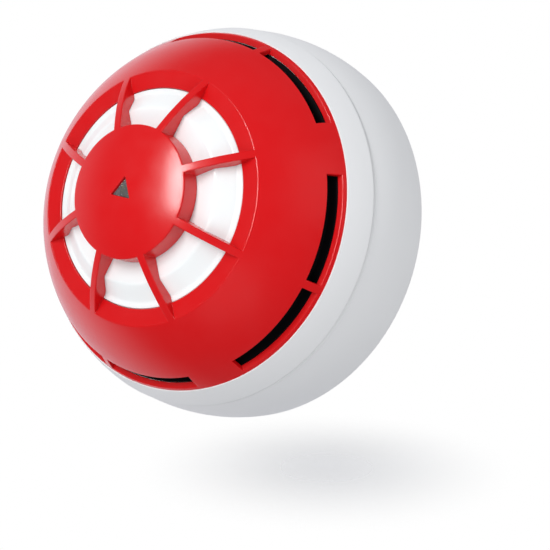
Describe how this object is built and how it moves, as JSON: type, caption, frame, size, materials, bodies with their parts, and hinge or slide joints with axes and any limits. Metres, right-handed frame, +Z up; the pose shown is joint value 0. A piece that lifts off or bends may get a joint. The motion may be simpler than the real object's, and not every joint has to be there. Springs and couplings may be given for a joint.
{
  "type": "horn strobe",
  "caption": "Round wall-mounted fire sounder and strobe: a red spoked dome over an opal lens on a white head that twist-locks onto a deep base.",
  "frame": {"origin": "centre of the wall face of the base", "axes": "+Z up the wall, +Y into the wall along the axis of the head, so the red dome faces -Y, and +X to the right of a person facing it"},
  "size_m": [0.1232, 0.0721, 0.1232],
  "materials": {
    "red_plastic": "satin moulded",
    "white_plastic": "satin moulded",
    "opal_plastic": "satin, translucent",
    "clear_acrylic": "polished",
    "black_plastic": "fine grain",
    "black_mesh": "fine woven mesh",
    "rubber": "matt",
    "foam": "closed-cell",
    "steel": "zinc plated",
    "brass": "rolled",
    "ceramic": "silvered ceramic",
    "circuit_board": "solder mask",
    "white_board": "white solder mask",
    "chip_black": "moulded epoxy",
    "can_aluminium": "drawn can",
    "ferrite": "sintered",
    "blue_plastic": "moulded",
    "ivory_plastic": "moulded",
    "mirror_foil": "vacuum metallised",
    "led": "phosphor under clear dome"
  },
  "bodies": {
    "base": {"base": "white_plastic", "cable_grommet": "rubber", "terminal_block": "ivory_plastic", "terminal_screws": "steel", "wire_clamps": "steel", "contact_springs": "brass", "block_screws": "steel", "locking_screw": "steel"},
    "head": {"seam_gasket": "rubber", "sounder_body": "white_plastic", "rear_cover": "white_plastic", "cover_screws": "steel", "contact_pads": "brass", "main_board": "circuit_board", "board_screws": "steel", "controller_chip": "chip_black", "capacitors": "can_aluminium", "boost_inductor": "ferrite", "dip_switch": "blue_plastic", "trimmer_body": "blue_plastic", "board_link": "black_plastic", "piezo_foam": "foam", "piezo_disc": "brass", "piezo_ceramic": "ceramic", "tone_chamber": "black_plastic", "chamber_screws": "steel", "sound_screen": "black_mesh", "strobe_carrier": "black_plastic", "strobe_board": "white_board", "strobe_screws": "steel", "strobe_leds": "led", "reflector": "mirror_foil", "indicator_led": "led", "light_pipe": "clear_acrylic", "lens": "opal_plastic", "lens_seal": "rubber", "red_dome": "red_plastic", "dome_screws": "steel"},
    "dip_slider_1": {"dip_slider_1": "white_plastic"},
    "dip_slider_2": {"dip_slider_2": "white_plastic"},
    "dip_slider_3": {"dip_slider_3": "white_plastic"},
    "dip_slider_4": {"dip_slider_4": "white_plastic"},
    "dip_slider_5": {"dip_slider_5": "white_plastic"},
    "volume_rotor": {"trimmer_rotor": "white_plastic"}
  },
  "joints": [
    {"name": "head_twist", "type": "hinge", "parent": "base", "child": "head", "pos_m": [0, 0, 0], "axis": [0, -1, 0], "range_deg": [0, 22]},
    {"name": "dip_slide_1", "type": "slide", "parent": "head", "child": "dip_slider_1", "axis": [0, 0, 1], "range_m": [0, 0.0012]},
    {"name": "dip_slide_2", "type": "slide", "parent": "head", "child": "dip_slider_2", "axis": [0, 0, 1], "range_m": [0, 0.0012]},
    {"name": "dip_slide_3", "type": "slide", "parent": "head", "child": "dip_slider_3", "axis": [0, 0, 1], "range_m": [0, 0.0012]},
    {"name": "dip_slide_4", "type": "slide", "parent": "head", "child": "dip_slider_4", "axis": [0, 0, 1], "range_m": [0, 0.0012]},
    {"name": "dip_slide_5", "type": "slide", "parent": "head", "child": "dip_slider_5", "axis": [0, 0, 1], "range_m": [0, 0.0012]},
    {"name": "volume_turn", "type": "hinge", "parent": "head", "child": "volume_rotor", "pos_m": [0.017, -0.0185, 0.008], "axis": [0, -1, 0], "range_deg": [-135, 135]}
  ]
}
